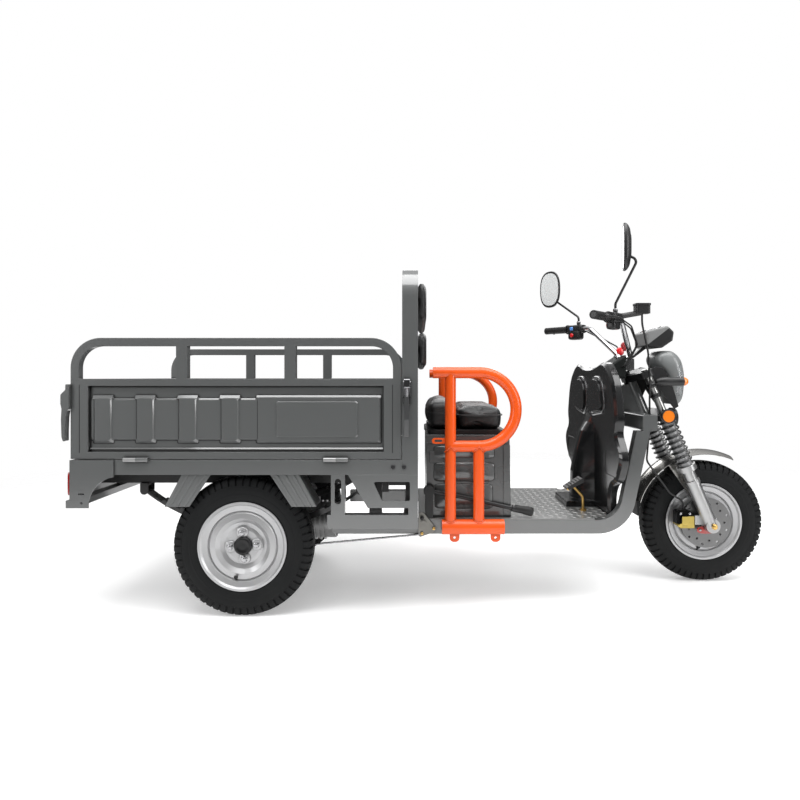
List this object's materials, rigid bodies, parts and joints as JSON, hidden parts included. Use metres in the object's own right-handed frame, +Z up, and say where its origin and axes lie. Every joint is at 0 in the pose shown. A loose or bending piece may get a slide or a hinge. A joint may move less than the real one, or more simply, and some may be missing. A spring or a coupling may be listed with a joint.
{
  "type": "electric cargo tricycle",
  "caption": "Three-wheeled electric load carrier with a drop-sided bed, a seat box between tubular guards, a step-through footboard and a steered telescopic fork.",
  "frame": {"origin": "on the ground below the middle of the vehicle's box", "axes": "+X forwards, +Y to the rider's left, +Z up"},
  "size_m": [2.845, 1.004, 1.503],
  "materials": {
    "grey_paint": "satin mid-grey paint",
    "black_paint": "satin black paint",
    "tread_plate": "black chequered steel",
    "red_lens": "red lamp lens",
    "spring_steel": "black enamelled spring steel",
    "cast_alloy": "bare cast alloy",
    "battery_case": "moulded case",
    "seat_box_paint": "semi-gloss black paint",
    "black_plastic": "moulded black plastic",
    "seat_vinyl": "black vinyl",
    "orange_paint": "gloss orange powder coat",
    "gloss_shell": "gloss black moulding",
    "zinc_plate": "yellow zinc plate",
    "chrome": "bright chrome",
    "stainless": "polished sheet steel",
    "gold_alloy": "gold anodised",
    "grip_rubber": "moulded rubber",
    "mirror_pane": "mirror glass",
    "lamp_shell": "dark lamp housing",
    "clear_lens": "clear lens",
    "amber_lens": "amber lens",
    "tyre": "black tread rubber",
    "wheel_paint": "silver wheel paint",
    "disc_steel": "ground brake disc",
    "latch_plate": "zinc plated steel with rubber head"
  },
  "bodies": {
    "root": {"chassis_frame": "black_paint", "front_frame": "grey_paint", "floor_plate": "tread_plate", "bed_floor": "grey_paint", "gate_hinges": "grey_paint", "gate_latches": "latch_plate", "bulkhead": "grey_paint", "side_frame": "grey_paint", "rear_bumper": "grey_paint", "tail_lamps": "red_lens", "rear_fenders": "grey_paint", "leaf_springs": "spring_steel", "rear_axle": "black_paint", "drive_motor": "cast_alloy", "battery_pack": "battery_case", "seat_box": "seat_box_paint", "seat_base": "black_plastic", "seat_cushion": "seat_vinyl", "seat_lip": "seat_vinyl", "backrest_pads": "seat_vinyl", "side_guards": "orange_paint", "parking_brake": "black_plastic", "brake_pedal": "black_plastic", "leg_shield": "gloss_shell", "brake_linkage": "zinc_plate"},
    "fork": {"fork_clamps": "black_paint", "fork_stanchions": "chrome", "fork_springs": "spring_steel", "fork_sliders": "cast_alloy", "front_fender": "stainless", "brake_caliper": "gold_alloy", "handlebar": "chrome", "grips": "grip_rubber", "hand_controls": "black_plastic", "mirrors": "black_plastic", "mirror_glass": "mirror_pane", "steering_cowl": "black_plastic", "instrument_panel": "black_plastic", "head_lamp": "lamp_shell", "head_lamp_lens": "clear_lens", "front_indicators": "amber_lens", "mud_flap": "grip_rubber", "brake_hose": "grip_rubber", "control_cables": "grip_rubber"},
    "front_wheel_body": {"front_tyre": "tyre", "front_wheel": "wheel_paint", "brake_disc": "disc_steel"},
    "rear_wheel_right_body": {"rear_tyre_right": "tyre", "rear_wheel_right": "wheel_paint"},
    "rear_wheel_left_body": {"rear_tyre_left": "tyre", "rear_wheel_left": "wheel_paint"},
    "side_gate_right": {"gate_right": "grey_paint"},
    "side_gate_left": {"gate_left": "grey_paint"},
    "tail_gate_body": {"tailgate": "grey_paint"}
  },
  "joints": [
    {"name": "steering", "type": "hinge", "parent": "root", "child": "fork", "pos_m": [0.91485, 0, 0.72148], "axis": [-0.3907, 0, 0.9205], "range_deg": [-30, 30]},
    {"name": "front_wheel_spin", "type": "hinge", "parent": "fork", "child": "front_wheel_body", "pos_m": [1.1575, 0, 0.265], "axis": [0, 1, 0], "continuous": true},
    {"name": "rear_wheel_right_spin", "type": "hinge", "parent": "root", "child": "rear_wheel_right_body", "pos_m": [-0.7655, -0.405, 0.265], "axis": [0, 1, 0], "continuous": true},
    {"name": "rear_wheel_left_spin", "type": "hinge", "parent": "root", "child": "rear_wheel_left_body", "pos_m": [-0.7655, 0.405, 0.265], "axis": [0, 1, 0], "continuous": true},
    {"name": "gate_right_drop", "type": "hinge", "parent": "root", "child": "side_gate_right", "pos_m": [-0.778, -0.488, 0.597], "axis": [1, 0, 0], "range_deg": [0, 175]},
    {"name": "gate_left_drop", "type": "hinge", "parent": "root", "child": "side_gate_left", "pos_m": [-0.778, 0.488, 0.597], "axis": [-1, 0, 0], "range_deg": [0, 175]},
    {"name": "tailgate_drop", "type": "hinge", "parent": "root", "child": "tail_gate_body", "pos_m": [-1.4005, 0, 0.597], "axis": [0, -1, 0], "range_deg": [0, 160]}
  ]
}
